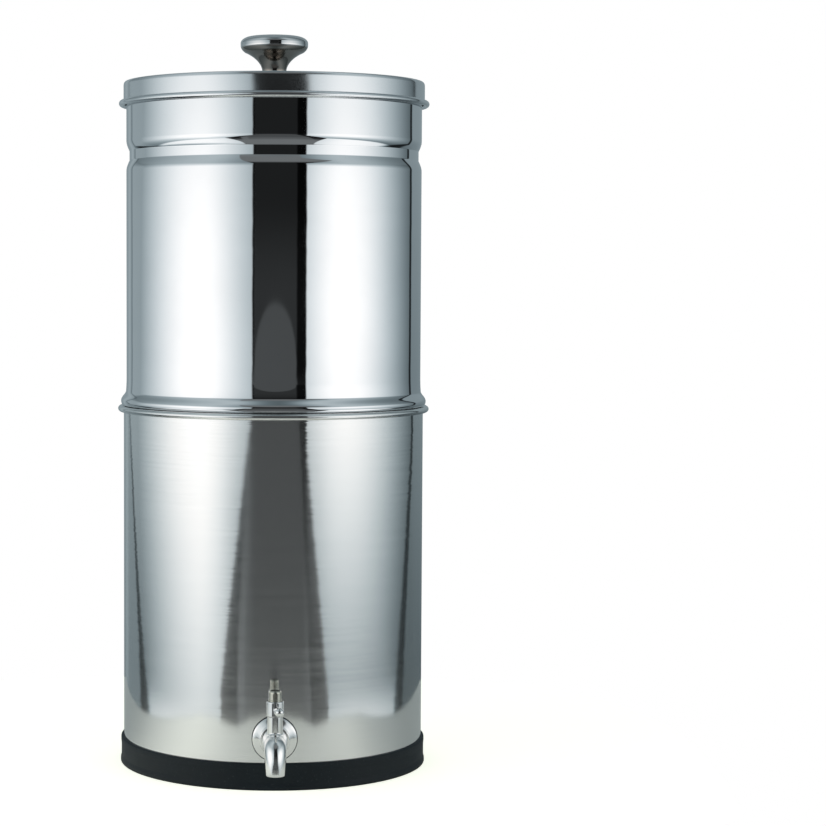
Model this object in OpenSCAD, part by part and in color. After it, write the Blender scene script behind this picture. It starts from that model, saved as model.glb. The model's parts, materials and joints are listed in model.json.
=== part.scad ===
// Gravity water filter with a tap: two stacked steel chambers, a lid with a knob, and a quarter-turn tap.
// All sizes in millimetres. The origin is the centre of the base on the surface that it stands on,
// +Z is up and the tap points towards -Y.

/* [Chambers] */
// Outer radius of the lower chamber's wall and of the lid's skirt
wall_r = 120; // [100:1:130]
// Thickness of the steel sheet
sheet_t = 0.7; // [0.5:0.1:0.8]
// How much smaller the upper chamber's outer radius is
step_in = 2.2; // [2.2:0.1:3]
// Height of the lower chamber's rim
lower_h = 287; // [240:1:320]
// Height from the lower chamber's rim to the lid's top
upper_h = 257; // [250:1:300]
// How far the upper chamber's floor hangs below the lower chamber's rim
nest_h = 17; // [10:1:20]

/* [Beads and band] */
// How far the lower chamber's rolled rim stands out of its wall
rim_out = 4.6; // [3.6:0.2:5]
// Height of the lower chamber's rolled rim
rim_h = 4.9; // [4:0.1:8]
// How far the upper chamber's seating bead stands out of its wall
seat_out = 4.4; // [4:0.1:5]
// How far the lid's rolled edge stands out of its skirt
lid_edge_out = 3.7; // [3:0.1:5]
// Height of the lid's rolled edge
lid_edge_h = 4.7; // [4:0.1:8]
// Depth of the pressed band near the top of the upper chamber
band_depth = 2.5; // [1:0.1:4]
// Distance from the lid's top down to the middle of the band
band_drop = 58.4; // [50:0.1:80]

/* [Base ring] */
// Height of the rubber ring
ring_h = 20.8; // [16:0.2:22]
// Thickness of the rubber ring around the wall
ring_t = 2.3; // [2:0.1:5]
// Thickness of the ledge that the lower chamber stands on
ledge_t = 5; // [4:0.5:8]
// Width of that ledge
ledge_w = 17; // [10:1:25]

/* [Lid and knob] */
// Height of the rounding between the lid's top and its skirt
lid_round = 3; // [2:0.1:4]
// Distance from the lid's top down to the middle of its rolled edge
lid_edge_drop = 17.1; // [14:0.1:24]
// Radius of the knob's head
knob_r = 26.9; // [24:0.1:32]
// Height of the knob
knob_h = 37.4; // [34:0.1:44]
// Radius of the knob's neck
knob_neck_r = 9.6; // [8:0.1:12]

/* [Tap] */
// Height of the tap's axis
tap_z = 39.7; // [36:0.1:60]
// Radius of the tap's escutcheon
flange_r = 17; // [15:0.5:20]
// Radius of the shoulder in front of the escutcheon
shoulder_r = 11.8; // [11:0.1:13]
// Radius of the tap's barrel at the shoulder
barrel_r = 10.1; // [9.5:0.1:11]
// Radius of the barrel where it starts to turn down
bend_r = 9.1; // [8.8:0.1:9.6]
// Radius of the spout just above its lip
spout_r = 7.6; // [7:0.1:8]
// Distance from the chamber's wall to the spout's axis
spout_out = 42; // [41:0.5:48]
// Height of the spout's lip
spout_z = 20.3; // [18:0.1:21]
// Distance from the chamber's wall to the valve's axis
valve_out = 24; // [23:0.5:25]
// Radius of the tower that holds the valve
tower_r = 5.9; // [5.8:0.1:6.4]
// Height of the tower above the tap's axis
tower_h = 21.8; // [20:0.1:26]
// Radius of the spout's mouth
mouth_r = 5.25; // [4.5:0.05:5.5]

/* [Valve and lever] */
// Radius of the valve's bore
valve_bore_r = 4.5; // [4.3:0.05:4.6]
// Radial clearance of the plug in the bore
plug_gap = 0.03; // [0.02:0.01:0.08]
// Radius of the lever's hub
hub_r = 6.65; // [6.6:0.05:7.5]
// Height of the lever's hub
hub_h = 11.1; // [9:0.1:14]
// Length of the lever from the valve's axis
lever_l = 24; // [18:0.5:35]
// Radius of the lever's end
lever_r = 3.35; // [2.8:0.05:4]
// Turn of the closed lever away from the spout's line, in degrees
lever_turn = 8; // [0:1:15]
// Angle that the lever turns through, in degrees
quarter_turn = 90; // [60:5:90]

/* [Filter elements] */
// Distance from the middle of the floor to each stem hole
stem_out = 50; // [44:1:60]
// Radius of the carbon block
block_r = 36; // [30:1:38]
// Height of the carbon block
block_h = 205; // [150:5:210]
// Radius of the threaded stems
stem_r = 6; // [5:0.5:7]

/* [Hidden] */
$fn = 180;

polished = "gainsboro";
brushed = "silver";
rubber_black = "#1c2023";

past = 1;          // how far a cutting solid runs past what it cuts
thread_gap = 0.05; // radial gap between a plain stem and what is screwed on it

// Middle lines of the sheet walls
wall_mid = wall_r - sheet_t / 2;
upper_r = wall_r - step_in;
upper_mid = upper_r - sheet_t / 2;
lid_top = lower_h + upper_h;

// Lower chamber's foot and raised floor panel
foot_z = ledge_t + sheet_t / 2;
foot_round = 4.5;
panel_z = foot_z + 4;
panel_r = wall_r - 22;
panel_slope = 5;

// Upper chamber: floor, seat on the lower rim, pressed band, folded top edge under the lid
floor_z = lower_h - nest_h;
floor_top = floor_z + sheet_t;
floor_round = 5;
seat_rise = 0.05;  // from the rim's top to the seat's underside: 0.4 is left between their rounded parts
seat_z = lower_h + seat_rise + sheet_t / 2;
seat_fillet = 1.5;
seat_round_w = 1.6;
seat_round_h = 3.55;
seat_slope_h = 7.2;
band_z = lid_top - band_drop;
band_flat_h = 7.6;
band_slope_h = 8.4;
hem_r = 0.55;
hem_z = lid_top - 4.4;
hem_h = 4.6;

// Tap, as distances in front of the wall
tail_r = 7.9;
tail_in = 18;
gasket_front = 1.2;
gasket_r = 17.5;
escutcheon_t = 3.2;
escutcheon_front = gasket_front + escutcheon_t;
shoulder_t = 3.2;
inner_gasket_back = -3.2;
washer_t = 1.5;
washer_r = 14;
nut_t = 7;
nut_r = 13.8;
inlet_r = 4;
outlet_r = 3.6;
bend_out = spout_out - 9;
corner_out = spout_out - 4.5;
mouth_h = 6;
spout_sides = 32;

// Valve, as heights
tower_top = tap_z + tower_h;
bore_floor = tap_z - 6.3;
plug_low = bore_floor + 0.3;
bush_h = 4.7;
bush_r = 4.9;
bush_gap = 0.3;
plug_top = tower_top - bush_h - bush_gap;
plug_r = valve_bore_r - plug_gap;
port_r = 3;
ring_wire_r = 0.5;
ring_heights = [tap_z - 4.3, tap_z + 8.5, tap_z + 12.5];
groove_floor_r = plug_r - 1.05;
spindle_r = 3;
spindle_flat = 2.3;
thread_r = 2;
hub_gap = 0.4;
hub_low = tower_top + hub_gap;
hub_top = hub_low + hub_h;
lever_z = hub_low + 4.6;
lever_rise = 4;
lever_root_r = 2.5;
lug_h = 1.2;
lug_from = 75;
lug_angle = 30;
lug_slack = 2;
cap_r = 4.8;
cap_h = 7.9;
cap_rim_r = 5.2;
cap_gap = 0.1;

// Filter elements, plugs and what fastens them under the floor
element_places = [[-stem_out, 0], [stem_out, 0]];
plug_places = [[0, -stem_out], [0, stem_out]];
gasket_t = 3;
element_z = floor_top + gasket_t;
element_base_r = block_r + 2;
element_base_h = 13;
block_z = element_z + element_base_h;
core_r = 10;
stem_l = 31;
hole_r = stem_r + 0.6;
wing_hub_r = 10;
wing_hub_h = 9;
wing_reach = 21;
blank_head_r = 14;
blank_head_h = 5;
blank_stem_l = 20;
blank_nut_r = 11;
blank_nut_h = 8;

// Knob's screw
screw_r = 3;
screw_head_r = 6;
screw_depth = 14;
knob_washer_t = 1.2;

// Points along an ellipse, from one angle to another in n steps
function arc(cx, cy, rx, ry, from, to, n) =
    [for (i = [0 : n]) let (a = from + (to - from) * i / n) [cx + rx * cos(a), cy + ry * sin(a)]];

// A smooth step from one radius to another with upright ends
function ease(r0, z0, r1, z1, n) =
    [for (i = [0 : n]) [r0 + (r1 - r0) * (1 - cos(180 * i / n)) / 2, z0 + (z1 - z0) * i / n]];

// Points along a cubic curve with two handles
function curve(p0, p1, p2, p3, n) = [for (i = [0 : n]) let (t = i / n, s = 1 - t)
    s * s * s * p0 + 3 * s * s * t * p1 + 3 * s * t * t * p2 + t * t * t * p3];

// Direction from a to b, and the normal on its left
function heading(a, b) = (b - a) / norm(b - a);
function left_of(v) = [-v[1], v[0]];

// Point i of a path, moved d to the left with a mitred corner
function beside(path, i, d) =
    let (last = len(path) - 1,
        before = heading(path[max(i - 1, 0)], path[max(i, 1)]),
        after = heading(path[min(i, last - 1)], path[min(i + 1, last)]),
        n = left_of(before) + left_of(after))
    path[i] + 2 * d * n / (n * n);

// Outline of sheet metal whose middle follows a path
function sheet(path) = concat(
    [for (i = [0 : len(path) - 1]) beside(path, i, sheet_t / 2)],
    [for (i = [len(path) - 1 : -1 : 0]) beside(path, i, -sheet_t / 2)]);

// Sheet metal spun around the vertical axis
module spun(path) {
    rotate_extrude() polygon(sheet(path));
}

// Upright ring or tube
module ring(inner_r, outer_r, z, h) {
    translate([0, 0, z]) difference() {
        cylinder(r = outer_r, h = h);
        translate([0, 0, -past]) cylinder(r = inner_r, h = h + 2 * past);
    }
}

// Hexagon nut with a plain bore
module hex_nut(bore_r, corner_r, z, h) {
    translate([0, 0, z]) difference() {
        cylinder(r = corner_r, h = h, $fn = 6);
        translate([0, 0, -past]) cylinder(r = bore_r, h = h + 2 * past);
    }
}

// Places what is drawn along +Z on the tap's axis, with 0 at the wall and + towards the front
module on_tap_axis() {
    translate([0, -wall_r, tap_z]) rotate([90, 0, 0]) children();
}

// Places what is drawn around Z on the valve's axis
module on_valve_axis() {
    translate([0, -wall_r - valve_out, 0]) children();
}

module at_each(places) {
    for (p = places) translate([p[0], p[1], 0]) children();
}

// ---- Lower unit ----

module base_ring() {
    lip = 1;
    waist = 0.3;
    spread = 0.4;
    ease_h = 4;
    color(rubber_black) rotate_extrude() polygon(concat(
        [[wall_r - ledge_w, ledge_t], [wall_r - ledge_w, 0]],
        arc(wall_r + ring_t + spread - lip, lip, lip, lip, -90, 0, 4),
        ease(wall_r + ring_t + spread, 2.2, wall_r + ring_t - waist, 2.2 + ease_h, 6),
        ease(wall_r + ring_t - waist, ring_h - 3.2 - ease_h, wall_r + ring_t, ring_h - 3.2, 6),
        arc(wall_r + ring_t - lip, ring_h - lip, lip, lip, 0, 90, 4),
        [[wall_r + thread_gap, ring_h], [wall_r + thread_gap, ledge_t]]));
}

module lower_chamber() {
    color(brushed) difference() {
        spun(concat(
            [[0, panel_z], [panel_r, panel_z], [panel_r + panel_slope, foot_z]],
            arc(wall_mid - foot_round, foot_z + foot_round, foot_round, foot_round, -90, 0, 6),
            arc(wall_mid + rim_out / 2, lower_h - rim_h / 2, rim_out / 2, (rim_h - sheet_t) / 2,
                180, -110, 20)));
        on_tap_axis() translate([0, 0, -5]) cylinder(r = tail_r + 0.2, h = 10);
    }
}

// ---- Tap ----

// Ring of points around the spout. Its top and bottom are given in the side view, as [out, up]
function spout_ring(top, low, r) = [for (j = [0 : spout_sides - 1])
    let (b = 360 * j / spout_sides, p = (top + low) / 2 + (top - low) / 2 * sin(b))
    [r * cos(b), -wall_r - p[0], p[1]]];

function level_ring(z, r) = spout_ring([spout_out + r, z], [spout_out - r, z], r);

// The barrel turns down and narrows to the spout's lip, as drawn over, under and across the bend
module spout_skin() {
    steps = 12;
    start = escutcheon_front + 1;
    low_out = bend_out - 6;
    lip_r = spout_r - 0.25;
    lip_z = spout_z + 1.2;
    over = curve([bend_out, tap_z + bend_r], [bend_out + 12.5, tap_z + bend_r],
        [spout_out + lip_r - 0.95, lip_z + 16], [spout_out + lip_r, lip_z], steps);
    under = curve([low_out, tap_z - bend_r - 0.2], [low_out + 3, tap_z - bend_r],
        [spout_out - lip_r - 2.2, lip_z + 6], [spout_out - lip_r, lip_z], steps);
    across = curve([bend_r + 0.1], [8], [8.6], [lip_r], steps);
    rings = concat(
        [spout_ring([start, tap_z + barrel_r], [start, tap_z - barrel_r], barrel_r)],
        [for (i = [0 : steps]) spout_ring(over[i], under[i], across[i][0])],
        [level_ring(spout_z + 0.45, spout_r - 0.42), level_ring(spout_z, spout_r - 0.9)]);
    n = spout_sides;
    last = len(rings) - 1;
    polyhedron(
        points = [for (one = rings, p = one) p],
        faces = concat(
            [[for (j = [0 : n - 1]) j], [for (j = [n - 1 : -1 : 0]) last * n + j]],
            [for (i = [0 : last - 1], j = [0 : n - 1])
                [i * n + j, (i + 1) * n + j, (i + 1) * n + (j + 1) % n, i * n + (j + 1) % n]]));
}

// Water way past the valve: forward to a corner, then leaning down to the spout's mouth
module outlet() {
    lean = spout_out - corner_out;
    drop = tap_z - spout_z - mouth_h;
    on_tap_axis() translate([0, 0, valve_out]) cylinder(r = outlet_r, h = corner_out - valve_out);
    translate([0, -wall_r - corner_out, tap_z]) {
        sphere(r = outlet_r);
        rotate([atan2(lean, -drop), 0, 0]) cylinder(r = outlet_r, h = norm([lean, drop]) + past);
    }
    translate([0, -wall_r - spout_out, spout_z - past]) cylinder(r = mouth_r, h = mouth_h + past);
}

module tap_body() {
    color(polished) difference() {
        union() {
            on_tap_axis() translate([0, 0, -tail_in])
                cylinder(r = tail_r, h = tail_in + escutcheon_front + past);
            on_tap_axis() rotate_extrude() polygon(concat(
                [[0, escutcheon_front], [shoulder_r, escutcheon_front]],
                arc(shoulder_r - 1.2, escutcheon_front + shoulder_t - 1.2, 1.2, 1.2, 0, 90, 5),
                [[0, escutcheon_front + shoulder_t]]));
            spout_skin();
            on_valve_axis() translate([0, 0, tap_z]) cylinder(r = tower_r, h = tower_h);
            on_valve_axis() translate([0, 0, tower_top - past]) rotate([0, 0, lug_from])
                rotate_extrude(angle = lug_angle)
                    translate([bush_r + 0.1, 0]) square([tower_r - bush_r - 0.2, lug_h + past]);
        }
        on_tap_axis() translate([0, 0, -tail_in - past])
            cylinder(r = inlet_r, h = tail_in + past + valve_out);
        outlet();
        on_valve_axis() translate([0, 0, bore_floor])
            cylinder(r = valve_bore_r, h = tower_top + past - bore_floor);
        on_valve_axis() translate([0, 0, tower_top - bush_h])
            cylinder(r = bush_r, h = bush_h + lug_h + past);
    }
}

module tap_escutcheon() {
    inner_r = shoulder_r - 0.5;
    color(polished) on_tap_axis() rotate_extrude() polygon(concat(
        [[tail_r + 0.2, gasket_front], [flange_r, gasket_front]],
        curve([flange_r, gasket_front + 0.4], [flange_r, gasket_front + 1.4],
            [flange_r - 1.4, gasket_front + 1.55], [inner_r, escutcheon_front], 10),
        [[tail_r + 0.2, escutcheon_front]]));
}

// Flat in front, and curved behind to lie on the round wall
module tap_outer_gasket() {
    color(rubber_black) difference() {
        on_tap_axis() translate([0, 0, -3]) ring(tail_r + 0.1, gasket_r, 0, 3 + gasket_front);
        cylinder(r = wall_r + 0.02, h = 2 * tap_z);
    }
}

module tap_inner_gasket() {
    color(rubber_black) intersection() {
        on_tap_axis() ring(tail_r + 0.1, washer_r, inner_gasket_back, 3);
        cylinder(r = wall_r - sheet_t - 0.02, h = 2 * tap_z);
    }
}

module tap_washer() {
    color(polished) on_tap_axis()
        ring(tail_r + 0.2, washer_r, inner_gasket_back - washer_t, washer_t);
}

module tap_lock_nut() {
    color(polished) on_tap_axis()
        hex_nut(tail_r + thread_gap, nut_r, inner_gasket_back - washer_t - nut_t, nut_t);
}

// Screwed into the top of the tower, it keeps the plug down
module bonnet_bush() {
    color("burlywood") on_valve_axis()
        ring(spindle_r + thread_gap, bush_r - 0.02, tower_top - bush_h, bush_h);
}

// ---- Lever and plug, which turn together ----

// Round bar with two flats, which carries the lever round with it
module flatted_bar(r, flat, z, h) {
    intersection() {
        translate([0, 0, z]) cylinder(r = r, h = h);
        translate([-flat, -2 * r, z]) cube([2 * flat, 4 * r, h]);
    }
}

module valve_plug() {
    color("burlywood") on_valve_axis() difference() {
        union() {
            translate([0, 0, plug_low]) cylinder(r = plug_r, h = plug_top - plug_low);
            translate([0, 0, plug_top]) cylinder(r = spindle_r, h = hub_low - plug_top);
            flatted_bar(spindle_r, spindle_flat, hub_low, hub_h - 0.2);
            translate([0, 0, hub_top - past]) cylinder(r = thread_r, h = past + cap_h - 2.5);
        }
        translate([-2 * plug_r, 0, tap_z]) rotate([0, 90, 0]) cylinder(r = port_r, h = 4 * plug_r);
        for (z = ring_heights) ring(groove_floor_r, plug_r + past, z - 0.7, 1.4);
    }
}

module stem_o_rings() {
    color(rubber_black) on_valve_axis()
        for (z = ring_heights) translate([0, 0, z])
            rotate_extrude() translate([plug_r - ring_wire_r - 0.02, 0]) circle(r = ring_wire_r);
}

module lever_handle() {
    edge = 0.8;
    color(polished) on_valve_axis() difference() {
        union() {
            rotate_extrude() polygon(concat(
                [[0, hub_low]],
                arc(hub_r - edge / 2, hub_low + edge / 2, edge / 2, edge / 2, -90, 0, 3),
                arc(hub_r - edge, hub_top - edge, edge, edge, 0, 90, 4),
                [[0, hub_top]]));
            rotate([0, 0, lever_turn]) translate([0, 0, lever_z]) rotate([90 - lever_rise, 0, 0])
                rotate_extrude() polygon(concat(
                    [[0, spindle_r + past]],
                    ease(lever_root_r, spindle_r + past, lever_r, lever_l - 6, 8),
                    arc(0, lever_l - 3, lever_r, 3, 0, 90, 8)));
        }
        flatted_bar(spindle_r + thread_gap, spindle_flat + thread_gap, hub_low - past, hub_h + 2 * past);
        // Slot in which the tower's lug stops the lever at both ends of its turn
        translate([0, 0, hub_low - past]) rotate([0, 0, lug_from - quarter_turn - lug_slack])
            rotate_extrude(angle = quarter_turn + lug_angle + 2 * lug_slack)
                translate([bush_r - 0.2, 0]) square([tower_r - bush_r + 0.3, lug_h + past]);
    }
}

module lever_cap_nut() {
    base = hub_top + cap_gap;
    color(polished) on_valve_axis() difference() {
        rotate_extrude() polygon(concat(
            [[0, base], [cap_rim_r, base], [cap_rim_r, base + 0.8], [cap_r, base + 1.2]],
            arc(cap_r - 1.8, base + cap_h - 1.8, 1.8, 1.8, 0, 90, 6),
            [[0, base + cap_h]]));
        translate([0, 0, base - past]) cylinder(r = thread_r + thread_gap, h = past + cap_h - 2);
    }
}

// ---- Upper unit ----

module upper_chamber() {
    color(polished) difference() {
        spun(concat(
            [[0, floor_z + sheet_t / 2]],
            arc(upper_mid - floor_round, floor_z + sheet_t / 2 + floor_round, floor_round, floor_round,
                -90, 0, 6),
            arc(upper_mid + seat_fillet, seat_z - seat_fillet, seat_fillet, seat_fillet, 180, 90, 4),
            arc(upper_mid + seat_out - seat_round_w, seat_z + seat_round_h, seat_round_w, seat_round_h,
                -90, -15, 6),
            ease(upper_mid + seat_out, seat_z + seat_round_h,
                upper_mid, seat_z + seat_round_h + seat_slope_h, 8),
            ease(upper_mid, band_z - band_flat_h / 2 - band_slope_h,
                upper_mid - band_depth, band_z - band_flat_h / 2, 8),
            ease(upper_mid - band_depth, band_z + band_flat_h / 2,
                upper_mid, band_z + band_flat_h / 2 + band_slope_h, 8),
            arc(upper_mid + hem_r, hem_z, hem_r, hem_r, 180, 0, 6),
            [[upper_mid + 2 * hem_r, hem_z - hem_h]]));
        at_each(concat(element_places, plug_places))
            translate([0, 0, floor_z - past]) cylinder(r = hole_r, h = sheet_t + 2 * past);
    }
}

module filter_element(place) {
    color("#26282a") translate([place[0], place[1], block_z]) difference() {
        cylinder(r = block_r, h = block_h);
        translate([0, 0, -past]) cylinder(r = core_r, h = block_h - 15);
    }
}

module filter_element_left() {
    filter_element(element_places[0]);
}

module filter_element_right() {
    filter_element(element_places[1]);
}

// Moulded cap under the block, with the hollow stem that goes through the floor
module element_base(place) {
    edge = 2;
    color("#2e3133") translate([place[0], place[1], 0]) difference() {
        union() {
            rotate_extrude() polygon(concat(
                [[0, element_z], [element_base_r - edge, element_z]],
                arc(element_base_r - edge, element_z + edge, edge, edge, -90, 0, 4),
                [[element_base_r, block_z], [0, block_z]]));
            translate([0, 0, element_z - stem_l]) cylinder(r = stem_r, h = stem_l + past);
        }
        translate([0, 0, element_z - stem_l - past])
            cylinder(r = stem_r / 2, h = stem_l + element_base_h + 2 * past);
    }
}

module element_base_left() {
    element_base(element_places[0]);
}

module element_base_right() {
    element_base(element_places[1]);
}

module element_top_caps() {
    cap_t = 8;
    edge = 3;
    color("#2e3133") at_each(element_places) translate([0, 0, block_z + block_h])
        rotate_extrude() polygon(concat(
            [[0, 0], [block_r, 0]],
            arc(block_r - edge, cap_t - edge, edge, edge, 0, 90, 5),
            [[0, cap_t]]));
}

module element_gaskets() {
    color(rubber_black) at_each(element_places)
        ring(stem_r + thread_gap, blank_head_r + 3, floor_top, gasket_t);
}

module wing_nuts() {
    wing_t = 3;
    tip_r = 4.5;
    color("#3a3d40") at_each(element_places) difference() {
        union() {
            translate([0, 0, floor_z - wing_hub_h]) cylinder(r = wing_hub_r, h = wing_hub_h);
            translate([0, wing_t / 2, floor_z - wing_hub_h]) rotate([90, 0, 0]) linear_extrude(wing_t) {
                translate([tip_r - wing_reach, -tip_r / 2]) circle(r = tip_r, $fn = 48);
                translate([wing_reach - tip_r, -tip_r / 2]) circle(r = tip_r, $fn = 48);
                translate([tip_r - wing_reach, -tip_r / 2])
                    square([2 * (wing_reach - tip_r), tip_r + tip_r / 2]);
            }
        }
        translate([0, 0, floor_z - wing_hub_h - 2 * tip_r])
            cylinder(r = stem_r + thread_gap, h = wing_hub_h + 3 * tip_r);
    }
}

// Stoppers for the two holes that hold no element
module blanking_plugs() {
    edge = 1.5;
    color("#3a3d40") at_each(plug_places) {
        rotate_extrude() polygon(concat(
            [[0, element_z - blank_stem_l], [stem_r, element_z - blank_stem_l], [stem_r, element_z],
                [blank_head_r, element_z]],
            arc(blank_head_r - edge, element_z + blank_head_h - edge, edge, edge, 0, 90, 4),
            [[0, element_z + blank_head_h]]));
    }
}

module plug_gaskets() {
    color(rubber_black) at_each(plug_places)
        ring(stem_r + thread_gap, blank_head_r, floor_top, gasket_t);
}

module plug_nuts() {
    color("#3a3d40") at_each(plug_places)
        hex_nut(stem_r + thread_gap, blank_nut_r, floor_z - blank_nut_h, blank_nut_h);
}

// ---- Lid unit ----

module lid() {
    corner_w = 1.2;
    corner_h = lid_round - sheet_t / 2;
    color(polished) difference() {
        spun(concat(
            [[0, lid_top - sheet_t / 2]],
            arc(wall_mid - corner_w, lid_top - lid_round, corner_w, corner_h, 90, 0, 6),
            arc(wall_mid + lid_edge_out / 2, lid_top - lid_edge_drop,
                lid_edge_out / 2, (lid_edge_h - sheet_t) / 2, 180, 460, 22)));
        translate([0, 0, lid_top - 2 * sheet_t]) cylinder(r = screw_r + 0.3, h = 4 * sheet_t);
    }
}

// Turned in one piece: foot, neck, flared underside, rounded rim and a nearly flat top
module lid_knob() {
    foot_r = knob_neck_r + 3.4;
    neck_z = 8.8;
    rim_low = knob_h - 7.6;
    rim_high = knob_h - 6;
    crown = 0.6;
    under = [knob_r - 12.8, 12.8, 8.2];
    under_angle = -44;
    join = [under[0] + under[1] * cos(under_angle), rim_low + under[2] * sin(under_angle)];
    flat_r = knob_r - 9.5;
    color(polished) translate([0, 0, lid_top]) difference() {
        rotate_extrude() polygon(concat(
            [[0, 0], [foot_r, 0]],
            curve([foot_r, 1.2], [foot_r - 1.5, 2.2], [knob_neck_r, 3.5], [knob_neck_r, 6], 5),
            curve([knob_neck_r, neck_z], [knob_neck_r, neck_z + 6.4], join - [7.6, 3.3], join, 10),
            arc(under[0], rim_low, under[1], under[2], under_angle + 5, 0, 7),
            arc(flat_r, rim_high, knob_r - flat_r, knob_h - crown - rim_high, 0, 85, 10),
            arc(0, knob_h - crown, flat_r, crown, 20, 90, 5)));
        translate([0, 0, -past]) cylinder(r = screw_r + thread_gap, h = screw_depth + 2 * past);
    }
}

module knob_washer() {
    color(polished)
        ring(screw_r + 0.3, screw_head_r + 3, lid_top - sheet_t - knob_washer_t, knob_washer_t);
}

module knob_screw() {
    under_head = lid_top - sheet_t - knob_washer_t;
    head_h = 4;
    color(polished) difference() {
        union() {
            translate([0, 0, under_head]) cylinder(r = screw_r, h = lid_top - under_head + screw_depth);
            rotate_extrude() polygon(concat(
                [[0, under_head], [0, under_head - head_h]],
                arc(screw_head_r - 2.5, under_head, 2.5, head_h, -90, 0, 6)));
        }
        for (a = [0, 90]) rotate([0, 0, a]) translate([-3.5, -0.6, under_head - head_h - past])
            cube([7, 1.2, past + 2]);
    }
}

base_ring();
lower_chamber();
tap_body();
tap_escutcheon();
tap_outer_gasket();
tap_inner_gasket();
tap_washer();
tap_lock_nut();
bonnet_bush();
valve_plug();
stem_o_rings();
lever_handle();
lever_cap_nut();
upper_chamber();
filter_element_left();
filter_element_right();
element_base_left();
element_base_right();
element_top_caps();
element_gaskets();
wing_nuts();
blanking_plugs();
plug_gaskets();
plug_nuts();
lid();
lid_knob();
knob_washer();
knob_screw();
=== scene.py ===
"""Looks of the gravity water filter with a tap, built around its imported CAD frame.

Sizes and outlines repeat the construction's own, in millimetres. They are scaled to metres once, where a mesh is made
from them: in turned, swept and holed_plate. The camera, the table and the studio are in metres.
"""

import json
import math

import bpy
import numpy as np
from mathutils import Matrix, Vector, geometry
from mathutils.bvhtree import BVHTree

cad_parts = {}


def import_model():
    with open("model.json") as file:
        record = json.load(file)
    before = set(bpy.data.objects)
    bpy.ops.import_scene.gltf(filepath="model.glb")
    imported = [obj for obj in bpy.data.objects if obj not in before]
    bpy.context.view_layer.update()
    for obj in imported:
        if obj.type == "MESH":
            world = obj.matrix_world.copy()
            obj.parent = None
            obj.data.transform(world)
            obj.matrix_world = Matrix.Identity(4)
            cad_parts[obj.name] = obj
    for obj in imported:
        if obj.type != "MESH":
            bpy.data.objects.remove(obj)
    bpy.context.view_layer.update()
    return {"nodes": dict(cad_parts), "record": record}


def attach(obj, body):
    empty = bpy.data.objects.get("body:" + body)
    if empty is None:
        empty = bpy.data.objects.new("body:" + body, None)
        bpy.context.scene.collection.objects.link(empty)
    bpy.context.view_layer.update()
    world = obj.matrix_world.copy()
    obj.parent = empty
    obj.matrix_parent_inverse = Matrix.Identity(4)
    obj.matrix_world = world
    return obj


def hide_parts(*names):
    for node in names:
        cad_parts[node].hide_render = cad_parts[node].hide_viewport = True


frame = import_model()
MM = 0.001

# ---- Sizes of the construction, in millimetres ----
WALL_R, SHEET_T, STEP_IN = 120.0, 0.7, 2.2
LOWER_H, UPPER_H, NEST_H = 287.0, 257.0, 17.0
RIM_OUT, RIM_H, SEAT_OUT, SEAT_ROUND, SEAT_SLOPE_H = 4.6, 4.9, 4.4, 3.55, 7.2
LID_EDGE_OUT, LID_EDGE_H, LID_ROUND, LID_EDGE_DROP = 3.7, 4.7, 3.0, 17.1
BAND_DEPTH, BAND_DROP, BAND_FLAT_H, BAND_SLOPE_H = 2.5, 58.4, 7.6, 8.4
RING_H, RING_T, LEDGE_T, LEDGE_W = 20.8, 2.3, 5.0, 17.0
KNOB_R, KNOB_H, KNOB_NECK_R = 26.9, 37.4, 9.6
TAP_Z, FLANGE_R, SHOULDER_R, BARREL_R, BEND_R, SPOUT_R = 39.7, 17.0, 11.8, 10.1, 9.1, 7.6
SPOUT_OUT, SPOUT_Z, VALVE_OUT, TOWER_R, TOWER_H, MOUTH_R = 42.0, 20.3, 24.0, 5.9, 21.8, 5.25
HUB_R, HUB_H, LEVER_L, LEVER_R, LEVER_TURN, LEVER_RISE = 6.65, 11.1, 24.0, 3.35, 8.0, 4.0
STEM_OUT, STEM_R = 50.0, 6.0
GASKET_FRONT, ESCUTCHEON_FRONT, SHOULDER_T = 1.2, 4.4, 3.2
TAIL_R, TAIL_IN, INLET_R = 7.9, 18.0, 4.0
BEND_OUT, PIPE_OUT = 33.0, 37.5

WALL_MID = WALL_R - SHEET_T / 2
UPPER_MID = WALL_R - STEP_IN - SHEET_T / 2
LID_TOP = LOWER_H + UPPER_H
FLOOR_Z = LOWER_H - NEST_H
TOWER_TOP = TAP_Z + TOWER_H
HUB_LOW = TOWER_TOP + 0.4
HUB_TOP = HUB_LOW + HUB_H
AROUND, SMALL_AROUND = 288, 96  # sides of a turned surface on the chambers and on the tap
SAME, ON_AXIS = 1e-4, 1e-6  # points nearer than this to each other are one, or to the axis lie on it


# ---- Outlines ----
def arc(cx, cy, rx, ry, start, stop, n):
    """Part of an ellipse between two angles in degrees."""
    return [(cx + rx * math.cos(math.radians(start + (stop - start) * i / n)),
             cy + ry * math.sin(math.radians(start + (stop - start) * i / n))) for i in range(n + 1)]


def ease(r0, z0, r1, z1, n):
    """From r0 to r1 with an upright slope at both ends."""
    return [(r0 + (r1 - r0) * (1 - math.cos(math.pi * i / n)) / 2, z0 + (z1 - z0) * i / n) for i in range(n + 1)]


def dent(r0, z0, r1, z1, n):
    """From a straight wall at r0 into a crease at r1, steepest at the crease."""
    return [(r0 + (r1 - r0) * (1 - math.cos(math.pi / 2 * i / n)), z0 + (z1 - z0) * i / n) for i in range(n + 1)]


def flare(r0, z0, r1, z1, n):
    """From a bead at r0 up to the wall at r1, where it meets the wall at a slope."""
    out, slope = [], 0.25
    for i in range(n + 1):
        t = 1 - i / n
        part = (1 - slope) / 2 * (1 - math.cos(math.pi * t)) + slope * math.sin(math.pi / 2 * t)
        out.append((r1 + (r0 - r1) * part, z0 + (z1 - z0) * i / n))
    return out


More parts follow.
